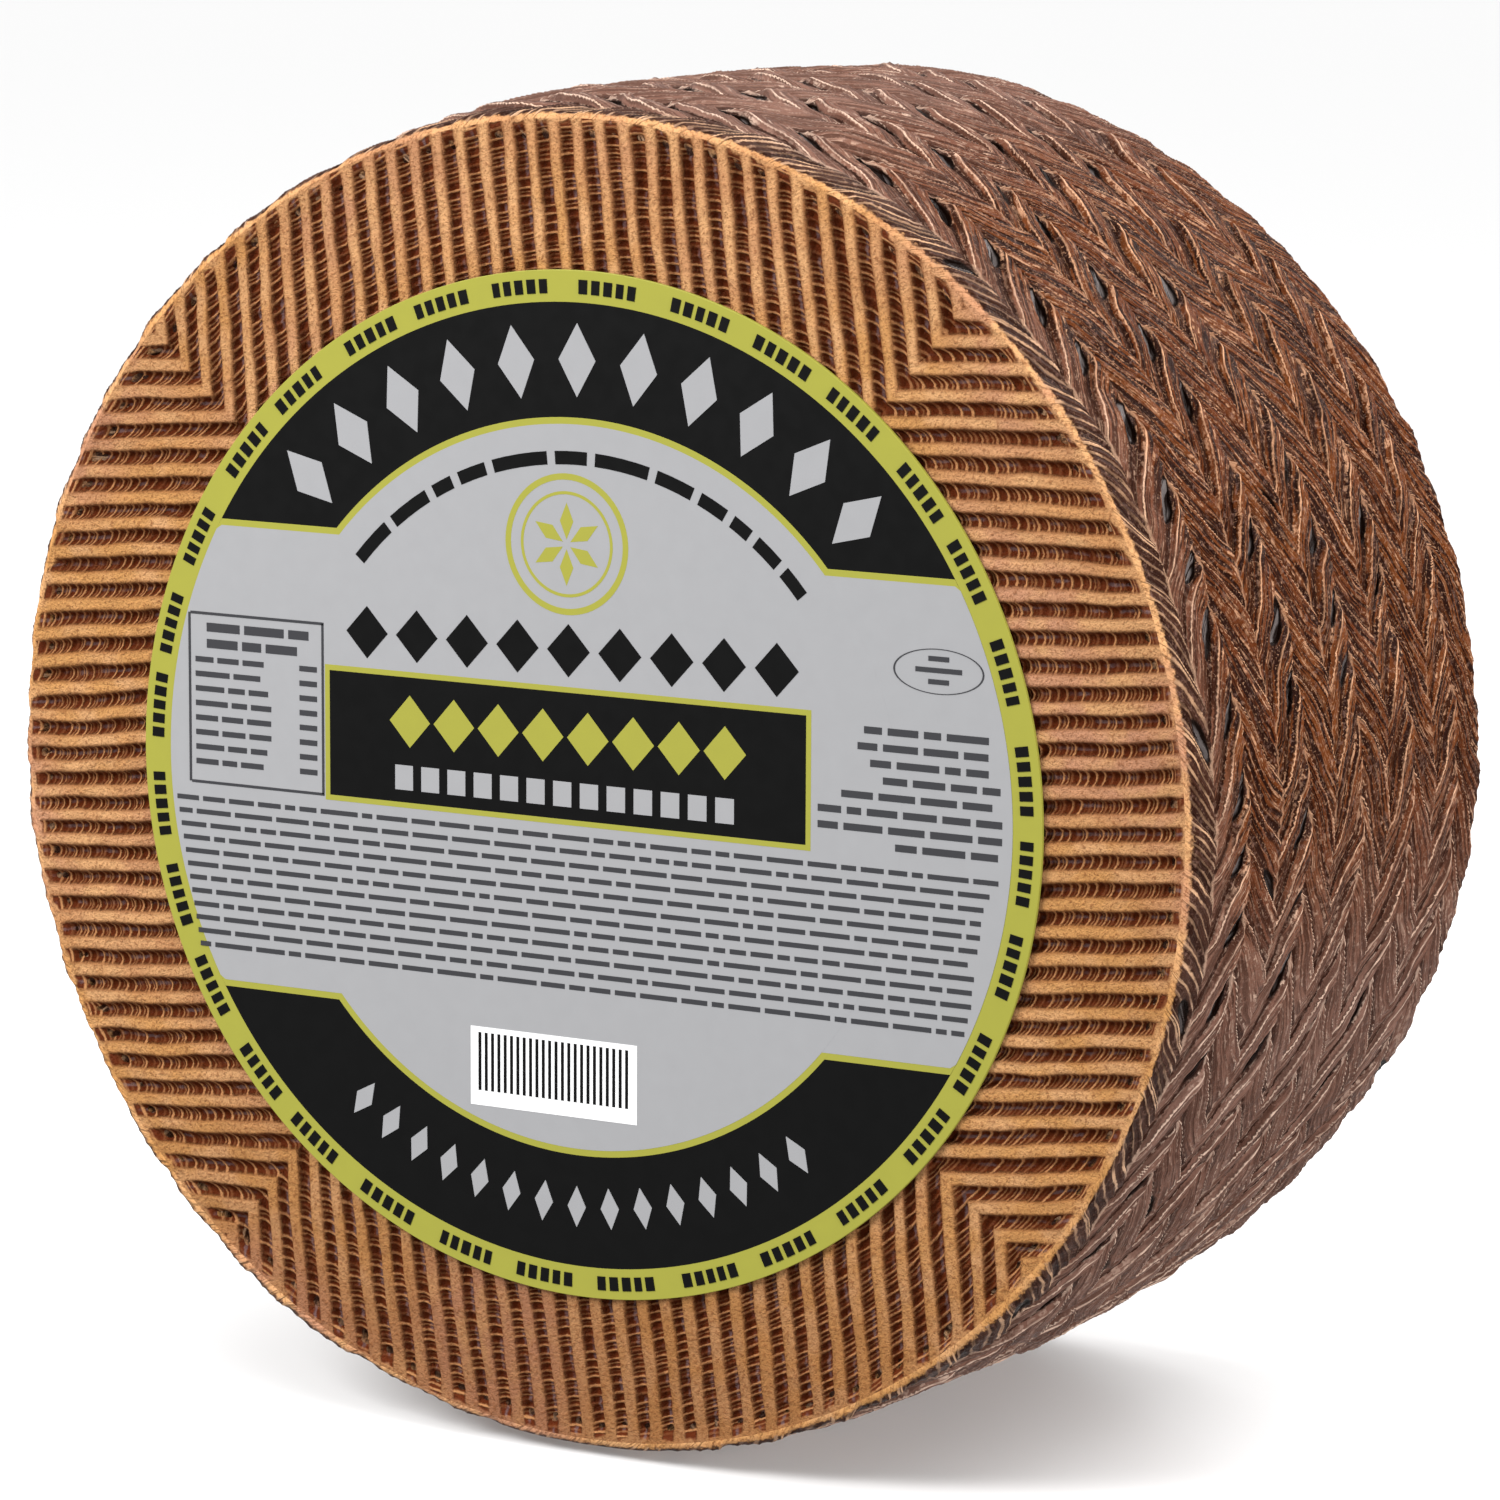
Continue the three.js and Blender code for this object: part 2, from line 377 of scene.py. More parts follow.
class Nodes:
    """A material's node tree, with short calls for the nodes that the finishes are made of."""

    BUMP_STRENGTH = 0.9

    def __init__(self, name):
        self.material = bpy.data.materials.new(name)
        self.material.use_nodes = True
        self.tree = self.material.node_tree
        self.shader = self.tree.nodes["Principled BSDF"]

    def new(self, kind, **settings):
        node = self.tree.nodes.new(kind)
        for key, value in settings.items():
            setattr(node, key, value)
        return node

    def feed(self, socket, value):
        if isinstance(value, bpy.types.NodeSocket):
            self.tree.links.new(value, socket)
        else:
            socket.default_value = value

    def math(self, operation, *values):
        node = self.new("ShaderNodeMath", operation=operation)
        for socket, value in zip(node.inputs, values):
            self.feed(socket, value)
        return node.outputs[0]

    def add(self, a, b):
        return self.math("ADD", a, b)

    def sub(self, a, b):
        return self.math("SUBTRACT", a, b)

    def mul(self, a, b):
        return self.math("MULTIPLY", a, b)

    def absolute(self, value):
        return self.math("ABSOLUTE", value)

    def highest(self, value, *others):
        for other in others:
            value = self.math("MAXIMUM", value, other)
        return value

    def wobble(self, value, noise, size):
        """The value moved up and down by a noise that is about a half."""
        return self.add(value, self.mul(self.sub(noise, 0.5), size))

    def step(self, value, low, high, out_low=0.0, out_high=1.0):
        """Goes smoothly from one number to another as the value goes from low to high."""
        node = self.new("ShaderNodeMapRange", interpolation_type="SMOOTHSTEP")
        for socket, item in zip(node.inputs, (value, low, high, out_low, out_high)):
            self.feed(socket, item)
        return node.outputs[0]

    def noise(self, vector, scale, detail=2.0, roughness=0.5):
        node = self.new("ShaderNodeTexNoise")
        self.feed(node.inputs["Vector"], vector)
        node.inputs["Scale"].default_value = scale
        node.inputs["Detail"].default_value = detail
        node.inputs["Roughness"].default_value = roughness
        return node.outputs["Fac"]

    def chance(self, a, b):
        """A random number for each pair of whole numbers."""
        node = self.new("ShaderNodeTexWhiteNoise", noise_dimensions="2D")
        self.feed(node.inputs["Vector"], self.join(a, b, 0.0))
        return node.outputs["Value"]

    def join(self, x, y, z):
        node = self.new("ShaderNodeCombineXYZ")
        for socket, value in zip(node.inputs, (x, y, z)):
            self.feed(socket, value)
        return node.outputs[0]

    def split(self, vector):
        node = self.new("ShaderNodeSeparateXYZ")
        self.feed(node.inputs[0], vector)
        return node.outputs

    def attribute(self, name, output):
        return self.new("ShaderNodeAttribute", attribute_name=name).outputs[output]

    def place(self):
        """Object coordinates in millimetres."""
        node = self.new("ShaderNodeVectorMath", operation="SCALE")
        self.feed(node.inputs[0], self.new("ShaderNodeTexCoord").outputs["Object"])
        node.inputs["Scale"].default_value = 1 / MM
        return node.outputs[0]

    def mix(self, share, a, b):
        node = self.new("ShaderNodeMix", data_type="RGBA")
        self.feed(node.inputs[0], share)
        self.feed(node.inputs[6], a)
        self.feed(node.inputs[7], b)
        return node.outputs[2]

    def bump(self, height, distance):
        node = self.new("ShaderNodeBump")
        node.inputs["Strength"].default_value = self.BUMP_STRENGTH
        node.inputs["Distance"].default_value = distance
        self.feed(node.inputs["Height"], height)
        return node.outputs[0]

    def finish(self, base, roughness, specular, normal=None):
        """Feeds the shader and gives back the material."""
        self.feed(self.shader.inputs["Base Color"], base)
        self.feed(self.shader.inputs["Roughness"], roughness)
        self.shader.inputs["Specular IOR Level"].default_value = specular
        if normal is not None:
            self.feed(self.shader.inputs["Normal"], normal)
        return self.material


def colour(red, green, blue):
    """An sRGB colour of 0 to 255 as the linear colour a shader takes."""
    def linear(value):
        value = value / 255
        return value / 12.92 if value <= 0.04045 else ((value + 0.055) / 1.055) ** 2.4
    return (linear(red), linear(green), linear(blue), 1.0)


RIB_TAN = colour(213, 161, 111)
RIB_GOLD = colour(201, 146, 88)
RIB_PINK = colour(195, 141, 108)
# Darker rib colour: grain specks, and painted shade on the rib flanks and towards the floor
RIB_SHADE = colour(122, 70, 35)
BAR_BROWN = colour(192, 135, 88)
# Groove colours: a dark brown painted as the shade in the grooves, and a grey painted as glints in them
PIT_BROWN = colour(96, 40, 12)
PIT_PAINTED_GLINT = colour(112, 88, 88)
STRAND_BROWN = colour(86, 38, 13)
# Dark of the strands: dark streaks, the first column's dark, and painted shade on each strand's low part
STRAND_DARK = colour(36, 11, 2)
STRAND_ORANGE = colour(116, 62, 24)
# Grey of the side: a painted sheen away from the warm band, and light grain flecks
STRAND_SHEEN_AND_FLECK_GREY = colour(130, 97, 84)
# Light colours of the side: painted highlights on the ridges and strand rims, also used for the light streaks
RIDGE_TAN = colour(218, 186, 166)
RIDGE_GOLD = colour(208, 156, 120)
# Hollows at the strands' ends: a painted grey reflection and painted black shade
HOLLOW_PAINTED_REFLECTION = colour(100, 92, 90)
HOLLOW_PAINTED_SHADE = colour(20, 8, 4)

# Gloss of the two kinds of rind, and how far their finest relief stands up, in metres
RIB_SPECULAR = 0.1
RIB_BUMP = 0.0006
STRAND_SPECULAR = 0.05
STRAND_BUMP = 0.0005

# Where the side is a warm orange brown, with a painted grey sheen elsewhere, and where the camera sees it,
# counted in strands round the wheel
WARM_MIDDLE = 4.6
WARM_HALVES = (3.8, 8.0)
SEEN_MIDDLE = 5.0
SEEN_HALVES = (18.0, 22.0)


def tan_of_ribs(n, place):
    """Tan of the raised parts, going from gold to pink in patches and grained with small darker specks."""
    patches = n.step(n.noise(place, 0.022, 1.0), 0.40, 0.60)
    tan = n.mix(patches, RIB_PINK, RIB_GOLD)
    tan = n.mix(n.step(n.noise(place, 0.16), 0.40, 0.66), tan, RIB_TAN)
    grain = n.noise(place, 1.7, 3.0, 0.75)
    tan = n.mix(n.step(grain, 0.46, 0.68, 0.0, 0.65), tan, RIB_SHADE)
    return tan, grain


def groove_places(n):
    """Each point's distance from its groove's middle, turns of the cord, distance out, and groove number."""
    p, q, out = n.split(n.attribute("weave", "Vector"))
    lower = n.math("DIVIDE", n.math("MINIMUM", n.absolute(p), n.absolute(q)), RIB_PITCH)
    level = n.math("FLOOR", lower)
    off_middle = n.sub(n.sub(lower, level), 0.5)
    from_groove = n.mul(n.absolute(off_middle), RIB_PITCH)
    quarter = n.math("SIGN", n.mul(p, q))
    turns = n.add(n.math("DIVIDE", out, CORD_PITCH), n.mul(level, CORD_SHIFT))
    turns = n.sub(turns, n.mul(n.mul(quarter, CORD_SLANT), off_middle))
    side_number = n.add(n.mul(n.math("SIGN", p), 40.0), n.mul(n.math("SIGN", q), 90.0))
    return from_groove, turns, out, n.add(level, side_number)


def cord_bars(n, turns, groove_number, grain):
    """Light bars between the cord's turns and thinner threads on them, some strong and some faint."""
    from_thread = n.mul(n.absolute(n.sub(n.math("FRACT", turns), 0.5)), CORD_PITCH)
    from_bar = n.sub(CORD_PITCH / 2, from_thread)
    bar_luck = n.chance(n.math("ROUND", turns), groove_number)
    thread_luck = n.chance(n.math("FLOOR", turns), n.add(groove_number, 300.0))
    bar = n.step(n.wobble(from_bar, grain, 0.45), 0.08, 0.26, 1.0, 0.0)
    bar = n.mul(bar, n.step(bar_luck, 0.0, 0.7, 0.10, 0.95))
    thread = n.step(n.wobble(from_thread, grain, 0.45), 0.04, 0.18, 1.0, 0.0)
    thread = n.mul(thread, n.step(thread_luck, 0.30, 0.95, 0.0, 0.75))
    return n.highest(bar, thread)


def painted_shade_and_darker_parts(n, place):
    """How much painted shade the faces get towards the floor, and how much darker they are towards the upper
    left and the right.
    """
    x, _, z = n.split(place)
    # Painted shade towards the floor, and plain darkening towards the upper left and the right
    shade_towards_floor = n.step(z, 6.0, 66.0, 0.58, 0.0)
    upper_left = n.step(n.sub(z, x), 195.0, 250.0, 0.0, 0.42)
    right = n.step(x, 68.0, 96.0, 0.0, 0.22)
    return n.highest(shade_towards_floor, upper_left, right)


def ribbed_rind():
    """Rind of the flat faces: tan ribs with painted shade on their flanks, and grooves painted dark as shade,
    with painted glints, crossed by thin light bars, the print of a cord.
    """
    n = Nodes("rind_ribs")
    place = n.place()
    tan, grain = tan_of_ribs(n, place)
    from_groove, turns, out, groove_number = groove_places(n)
    bars = cord_bars(n, turns, groove_number, grain)
    ends = n.step(n.wobble(out, n.noise(place, 0.35), 3.0), *GROOVE_SHADE_FADE, 1.0, 0.0)
    groove = n.mul(n.step(n.wobble(from_groove, grain, 0.9), 0.74, 1.06, 1.0, 0.0), ends)
    # Painted shade on the rib flanks next to the grooves
    painted_flank_shade = n.mul(n.step(n.wobble(from_groove, grain, 0.6), 0.95, 1.60, 0.65, 0.0), ends)
    # Painted glints: grey patches along the middle of the grooves
    gloss = n.step(n.wobble(from_groove, grain, 0.8), 0.10, 0.34, 1.0, 0.0)
    gloss = n.mul(gloss, n.step(n.noise(place, 0.30, 1.0), 0.46, 0.60, 0.0, 0.8))
    # Painted shade: the grooves dark brown, with the painted glints in them
    dark = n.mix(gloss, PIT_BROWN, PIT_PAINTED_GLINT)
    # Painted shade on the rib flanks and towards the floor, and darker towards the upper left and the right
    base = n.mix(n.highest(painted_flank_shade, painted_shade_and_darker_parts(n, place)), tan, RIB_SHADE)
    base = n.mix(groove, base, n.mix(bars, dark, BAR_BROWN))
    depth = n.add(n.mul(n.mul(groove, n.sub(1.0, bars)), -0.7), n.mul(grain, 1.5))
    return n.finish(base, n.step(grain, 0.35, 0.65, 0.40, 0.60), RIB_SPECULAR, n.bump(depth, RIB_BUMP))


def strand_places(n, around, across):
    """Column number, whether it is the first, place u across it, strand number, and place f across that."""
    column = n.math("FLOOR", across)
    u = n.math("FRACT", across)
    first = n.math("LESS_THAN", column, 1.0)
    slanting_up = n.math("MODULO", n.add(column, 20.0), 2.0)
    lean = n.sub(n.mul(slanting_up, 2.0), 1.0)
    steep = n.sub(1.0, n.math("POWER", n.sub(1.0, u), 3.0))
    bend = n.add(n.mul(u, STRAND_STRAIGHT), n.mul(n.mul(steep, STRAND_CURL), n.sub(1.0, first)))
    count = n.sub(around, n.mul(n.mul(lean, STRAND_SHEAR), bend))
    count = n.add(count, n.mul(slanting_up, 0.5))
    return column, first, u, n.math("FLOOR", count), n.math("FRACT", count)


def strand_ridges(n, first, u, f, luck, grain, highlight_strength, broken):
    """Painted highlights on the fine ridges along a strand, broken up, and strongest in patches and towards
    the column's back edge.
    """
    lines = n.math("FRACT", n.mul(f, n.add(n.mul(luck, 2.4), RIDGES - 1.6)))
    line = n.mul(n.absolute(n.sub(lines, 0.5)), 2.0)
    line = n.add(n.wobble(line, grain, 0.6), n.mul(first, 0.10))
    toward_back = n.highest(n.step(u, 0.30, 0.90, 0.35, 1.0), first)
    ridge = n.mul(n.mul(n.step(line, 0.72, 0.96), toward_back), n.mul(highlight_strength, broken))
    return n.mul(ridge, n.sub(1.0, n.mul(first, n.step(f, 0.30, 0.62, 0.6, 0.0))))


def strand_edges(n, u, f, grain, highlight_strength):
    """A painted highlight on the overlapping rim of each strand, and the light edges of each column."""
    rim_edge = n.step(n.absolute(n.sub(f, 0.925)), 0.008, 0.028, 1.0, 0.0)
    rim_edge = n.mul(rim_edge, n.step(highlight_strength, 0.2, 1.0, 0.5, 1.0))
    from_edge = n.math("MINIMUM", u, n.sub(1.0, u))
    column_edge = n.step(n.add(from_edge, n.mul(grain, 0.04)), 0.025, 0.05, 0.5, 0.0)
    return n.highest(rim_edge, column_edge)


def warm_not_painted_sheen(n, place, around, depth):
    """How warm the side's brown is, against a painted grey sheen: one warm band at the upper right, and
    random warm patches on the unseen side.
    """
    warm = n.step(n.absolute(n.sub(around, WARM_MIDDLE)), *WARM_HALVES, 1.0, 0.0)
    seen_side = n.step(n.absolute(n.sub(around, SEEN_MIDDLE)), *SEEN_HALVES, 1.0, 0.0)
    warm = n.highest(warm, n.step(n.sub(n.noise(place, 0.025, 1.0), seen_side), 0.40, 0.66))
    return n.mul(warm, n.step(depth, 5.0, 14.0, 0.35, 1.0))


def plaited_rind():
    """Rind of the side: overlapping fine-ribbed strands with painted highlights on their ridges, painted
    shade on their low parts and a painted grey sheen, and hollows that are glossy and painted black as shade
    with a painted grey reflection.
    """
    n = Nodes("rind_plait")
    place = n.place()
    around, across, depth = n.split(n.attribute("weave", "Vector"))
    hollow = n.attribute("hollow", "Fac")
    column, first, u, strand, f = strand_places(n, around, across)
    luck = n.chance(strand, column)
    grain = n.noise(place, 1.1, 3.0, 0.7)
    along_strand = n.join(n.mul(f, 11.0), n.mul(u, 1.6), n.add(n.mul(luck, 37.0), strand))
    streaks = n.noise(along_strand, 1.0, 2.0, 0.6)
    # Patches where the painted highlights on the ridges and rims are stronger
    highlight_strength = n.step(n.noise(place, 0.20), 0.36, 0.60, 0.25, 1.0)
    broken = n.step(n.add(n.noise(place, 1.0), n.mul(first, 0.2)), 0.44, 0.56)
    warm = warm_not_painted_sheen(n, place, around, depth)
    contrast = n.add(n.mul(warm, 0.55), 0.45)

    ridge = strand_ridges(n, first, u, f, luck, grain, highlight_strength, broken)
    light_streaks = n.mul(n.step(streaks, 0.56, 0.66, 0.0, 0.7), n.mul(broken, n.sub(contrast, first)))
    edges = strand_edges(n, u, f, grain, highlight_strength)
    flecks = n.step(n.noise(place, 2.6, 1.0), 0.62, 0.70, 0.0, 0.4)
    light = n.highest(n.mul(ridge, 0.85), edges, light_streaks, n.mul(flecks, warm))

    # Painted sheen: grey where the side is not warm
    base = n.mix(warm, STRAND_SHEEN_AND_FLECK_GREY, STRAND_ORANGE)
    base = n.mix(n.mul(n.step(luck, 0.0, 1.0, 0.30, 0.75), contrast), base, STRAND_BROWN)
    base = n.mix(n.mul(n.step(streaks, 0.54, 0.44), contrast), base, STRAND_DARK)
    # Painted shade on the low part of each strand, beside the overlapping rim of the next one
    base = n.mix(n.step(f, 0.06, 0.42, 0.85, 0.0), base, STRAND_DARK)
    base = n.mix(n.mul(first, 0.75), base, STRAND_DARK)
    base = n.mix(n.step(grain, 0.54, 0.68, 0.0, 0.5), base, STRAND_SHEEN_AND_FLECK_GREY)
    toward_rim = n.step(depth, 3.0, 9.0, 1.0, 0.0)
    ridge_colour = n.mix(n.mul(toward_rim, 0.6), n.mix(warm, RIDGE_TAN, RIDGE_GOLD), RIB_TAN)
    # Painted highlights on the ridges and strand rims, with the light streaks, edges and flecks
    base = n.mix(light, base, ridge_colour)
    # Painted shade: the hollows black; painted reflection: grey in their middles
    base = n.mix(n.step(hollow, 0.08, 0.30), base, HOLLOW_PAINTED_SHADE)
    base = n.mix(n.mul(n.step(hollow, 0.40, 0.70), n.step(streaks, 0.44, 0.54)), base, HOLLOW_PAINTED_REFLECTION)
    tan, _ = tan_of_ribs(n, place)
    from_rim = n.math("MINIMUM", depth, n.sub(THICKNESS, depth))
    base = n.mix(n.step(n.wobble(from_rim, grain, 1.8), -0.15, 0.4, 1.0, 0.0), base, tan)

    relief = n.add(n.add(n.mul(light, 0.5), n.mul(grain, 0.5)), n.mul(streaks, 1.6))
    relief = n.mul(relief, n.step(hollow, 0.2, 0.7, 1.0, 0.2))
    roughness = n.step(hollow, 0.2, 0.7, 0.42, 0.18)
    return n.finish(base, roughness, STRAND_SPECULAR, n.bump(relief, STRAND_BUMP))


# Label print: plain colour fields and simple marks, in millimetres from the label's middle, right and up
LABEL_SILVER = colour(157, 157, 159)
LABEL_BLACK = colour(8, 8, 8)
LABEL_LIME = colour(156, 154, 64)
LABEL_WHITE = colour(246, 246, 246)
LABEL_GREY = colour(60, 60, 63)
LABEL_SPECULAR = 0.12
LABEL_EDGE = 0.1
INK_STEP = 0.02
INK_DEPTH = 0.1
RING_INSIDE = 69.1
INNER_RADIUS = 52.9
BELT_HALF = 34.5
LIME_LINE = 0.95
MEDALLION = (-1.7, 34.9)
OVAL = (57.5, 21.6)

# Left, right, low and high sides of the rectangles on the label
PANEL = (-42.2, 37.7, -5.2, 14.6)
PANEL_FIELD = (-41.4, 36.9, -4.4, 13.8)
TABLE_FRAME = (-65.8, -42.4, -4.7, 20.6)
TABLE_LINE = 0.4
BAR_PANEL = (-17.7, 9.9, -47.4, -35.9)


def print_finish(name, ink):
    """Printed paper in one ink, with a faint unevenness in its colour and gloss."""
    n = Nodes(name)
    mottle = n.noise(n.place(), 0.35)
    dull = tuple(value * 0.93 for value in ink[:3]) + (1.0,)
    return n.finish(n.mix(mottle, ink, dull), n.step(mottle, 0.3, 0.7, 0.38, 0.46), LABEL_SPECULAR)


def as_drawn(x, z):
    return x, z


class Print:
    """Flat shapes of one ink, all in one piece."""

    def __init__(self, name, ink, layer):
        self.name = name
        self.ink = ink
        self.front = LABEL_FRONT - layer * INK_STEP
        self.bm = bmesh.new()

    def settle(self, verts, place=as_drawn, sunk=0.0):
        """Moves new flat points, made across x and y, to their place on the label."""
        for vert in verts:
            x, z = place(vert.co.x, vert.co.y)
            y = self.front + sunk + (vert.co.z > 0.5) * INK_DEPTH
            vert.co = (x * MM, y * MM, AXIS_HEIGHT * MM + z * MM)

    def field(self, left, right, low, high, cuts=0, place=as_drawn):
        """A rectangle, cut across into strips where its place is curved."""
        made = bmesh.ops.create_cube(self.bm, size=1.0)
        verts = made["verts"]
        if cuts:
            edges = dict.fromkeys(edge for vert in verts for edge in vert.link_edges)
            along = [edge for edge in edges if abs(edge.verts[0].co.x - edge.verts[1].co.x) > 0.5]
            bmesh.ops.subdivide_edges(self.bm, edges=along, cuts=cuts, use_grid_fill=True)
            verts = self.unplaced()
        for vert in verts:
            x = left + (vert.co.x + 0.5) * (right - left)
            y = low + (vert.co.y + 0.5) * (high - low)
            vert.co = (x, y, vert.co.z + 0.5)
        self.settle(verts, place)

    def unplaced(self):
        """Points that still lie in the unit cube they were made in."""
        return [vert for vert in self.bm.verts if abs(vert.co.z) == 0.5]

    def arc(self, radius, width, start, end):
        """A curved bar: angles in degrees from the top, clockwise."""
        def bend(x, z):
            angle = math.radians(x)
            return z * math.sin(angle), z * math.cos(angle)

        cuts = max(1, int(abs(end - start) / 3))
        self.field(start, end, radius - width / 2, radius + width / 2, cuts, bend)

    def ring(self, radius, width, centre, squash=1.0):
        """A thin closed ring or oval."""
        def bend(x, z):
            angle = math.radians(x)
            return centre[0] + z * math.sin(angle), centre[1] + z * math.cos(angle) * squash

        self.field(0, 360, radius - width / 2, radius + width / 2, 71, bend)

    def drum(self, radius):
        """The points of a new disc, front and back."""
        made = bmesh.ops.create_circle(self.bm, cap_ends=True, segments=240, radius=radius)
        face = made["verts"][0].link_faces[0]
        raised = bmesh.ops.extrude_face_region(self.bm, geom=[face])
        top = [item for item in raised["geom"] if isinstance(item, bmesh.types.BMVert)]
        bmesh.ops.translate(self.bm, verts=top, vec=(0, 0, 1))
        return made["verts"] + top

    def disc(self, radius):
        self.settle(self.drum(radius))

    def belt(self, radius, half_height):
        """The part of a disc between two level cuts, half a layer lower than a disc of the same ink."""
        verts = self.drum(radius)
        for vert in verts:
            if abs(vert.co.y) > half_height:
                vert.co.y = math.copysign(half_height, vert.co.y)
        self.settle(verts, sunk=INK_STEP / 2)

    def finish(self):
        bmesh.ops.remove_doubles(self.bm, verts=self.bm.verts[:], dist=1e-7)
        bmesh.ops.recalc_face_normals(self.bm, faces=self.bm.faces[:])
        piece = add_object(self.name, mesh_of(self.bm, self.name))
        stand_for_label(piece, print_finish(self.name, self.ink))


def label_paper():
    """The label as a smooth thin disc with an eased edge, lime where its rim shows."""
    bm = bmesh.new()
    bmesh.ops.create_circle(bm, cap_ends=True, segments=360, radius=LABEL_RADIUS * MM)
    raised = bmesh.ops.extrude_face_region(bm, geom=bm.faces[:])
    moved = [item for item in raised["geom"] if isinstance(item, bmesh.types.BMVert)]
    bmesh.ops.translate(bm, verts=moved, vec=(0, 0, (LABEL_BACK - LABEL_FRONT) * MM))
    edges = [edge for edge in bm.edges if all(vert in moved for vert in edge.verts)]
    bmesh.ops.bevel(bm, geom=edges, offset=LABEL_EDGE * MM, segments=2, profile=0.5, affect="EDGES",
                    material=-1)
    bmesh.ops.recalc_face_normals(bm, faces=bm.faces[:])
    turn = Euler((math.pi / 2, 0, 0)).to_matrix().to_4x4()
    bmesh.ops.transform(bm, matrix=turn, verts=bm.verts[:])
    bmesh.ops.translate(bm, verts=bm.verts[:], vec=(0, LABEL_BACK * MM, AXIS_HEIGHT * MM))
    piece = add_object("label_paper", mesh_of(bm, "label_paper"))
    stand_for_label(piece, print_finish("label_lime", LABEL_LIME))


def dashes(sheet, left, right, level, height, lengths, gap):
    """A level row of plain dashes of uneven length, between a shortest and a longest."""
    x = left
    while x < right - lengths[0]:
        end = min(x + rng.uniform(*lengths), right)
        sheet.field(x, end, level - height / 2, level + height / 2)
        x = end + gap


def curved_dashes(sheet, radius, height, start, end, lengths, gap):
    """A curved row of plain dashes; angles, lengths and gap in degrees, from the top and clockwise."""
    x = start
    while x < end - lengths[0]:
        stop = min(x + rng.uniform(*lengths), end)
        sheet.arc(radius, height, x, stop)
        x = stop + gap


def lozenge(sheet, half_width, half_height, centre=(0, 0), out=0.0, angle=0.0):
    """A diamond at a distance out from a centre, in a direction in degrees from the top and clockwise."""
    turn = math.radians(angle)

    def lean(x, z):
        across = (x - z) * half_width
        along = out + (x + z) * half_height
        return (centre[0] + across * math.cos(turn) + along * math.sin(turn),
                centre[1] + along * math.cos(turn) - across * math.sin(turn))

    sheet.field(-0.5, 0.5, -0.5, 0.5, 0, lean)


def outline(sheet, left, right, low, high, line):
    """A rectangle drawn as four thin bars."""
    for bar_low in (high - line, low):
        sheet.field(left + line, right, bar_low, bar_low + line)
    for bar_left in (left, right - line):
        sheet.field(bar_left, bar_left + line, low + line / 2, high - line / 2)


def colour_fields():
    """Black fields above and below, lime lines, and the silver middle."""
    black = Print("label_black_ground", LABEL_BLACK, 1)
    black.disc(RING_INSIDE)
    black.finish()
    for name, ink, layer, inset in (("label_lime_lines", LABEL_LIME, 2, 0),
                                    ("label_silver_field", LABEL_SILVER, 3, LIME_LINE)):
        sheet = Print(name, ink, layer)
        sheet.disc(INNER_RADIUS - inset)
        sheet.belt(RING_INSIDE, BELT_HALF - inset)
        sheet.finish()


def panel_border():
    """The middle panel's lime border, and a round medallion with six petals above it."""
    sheet = Print("label_panel_border", LABEL_LIME, 4)
    sheet.field(*PANEL)
    sheet.ring(9.6, 0.9, MEDALLION)
    sheet.ring(7.3, 0.45, MEDALLION)
    for petal in range(6):
        lozenge(sheet, 1.1, 2.6, centre=MEDALLION, out=3.3, angle=petal * 60)
    sheet.finish()


def dark_marks():
    """The panel's black field, marks on the lime ring, a curved row of bars, and a row of diamonds."""
    sheet = Print("label_dark_marks", LABEL_BLACK, 5)
    sheet.field(*PANEL_FIELD)
    groups = 32
    for group in range(groups):
        start = group * 360 / groups + rng.uniform(0, 1.5)
        curved_dashes(sheet, radius=71.3, height=2.0, start=start, end=start + 8.2,
                      lengths=(0.9, 1.15), gap=0.55)
    curved_dashes(sheet, radius=47.2, height=1.9, start=-50, end=50, lengths=(4.0, 11.0), gap=1.6)
    for step in range(9):
        lozenge(sheet, 3.5, 3.8, centre=(-35.0 + step * 8.4, 19.8))
    sheet.finish()


def small_marks():
    """Rows of plain dashes below and to the right, a framed table of them to the left, and a plain oval."""
    sheet = Print("label_small_marks", LABEL_GREY, 5)
    for row in range(12):
        dashes(sheet, left=-68.0 + 0.35 * row, right=67.5 - 0.5 * row, level=-7.0 - row * 1.96,
               height=0.7, lengths=(1.6, 6.5), gap=0.75)
    for row, left in enumerate((46.0, 45.0, 47.0, 49.0, 42.5, 38.8, 38.8, 51.0)):
        dashes(sheet, left=left, right=67.5, level=12.6 - row * 2.3, height=1.0,
               lengths=(2.2, 7.0), gap=0.9)
    outline(sheet, *TABLE_FRAME, TABLE_LINE)
    for row in range(2):
        dashes(sheet, left=-62.6, right=-45.0, level=18.4 - row * 2.4, height=1.3,
               lengths=(3.0, 7.0), gap=0.8)
    for row in range(8):
        level = 13.6 - row * 2.15
        dashes(sheet, left=-64.6, right=-51.5, level=level, height=0.8,
               lengths=(2.2, 6.0), gap=0.7)
        sheet.field(-46.6, -43.6, level - 0.4, level + 0.4)
    sheet.ring(6.9, 0.25, OVAL, squash=0.45)
    for row in range(3):
        inset = abs(row - 1) * 2.0
        sheet.field(53.9 + inset, 61.1 - inset, 23.0 - row * 1.6, 23.7 - row * 1.6)
    sheet.finish()


def bar_panel():
    """An empty white panel with even bars."""
    white = Print("label_white_panel", LABEL_WHITE, 5)
    white.field(*BAR_PANEL)
    white.finish()
    stripes = Print("label_panel_stripes", LABEL_BLACK, 6)
    for step in range(24):
        stripes.field(-16.4 + step * 1.06, -15.9 + step * 1.06, -45.2, -36.7)
    stripes.finish()


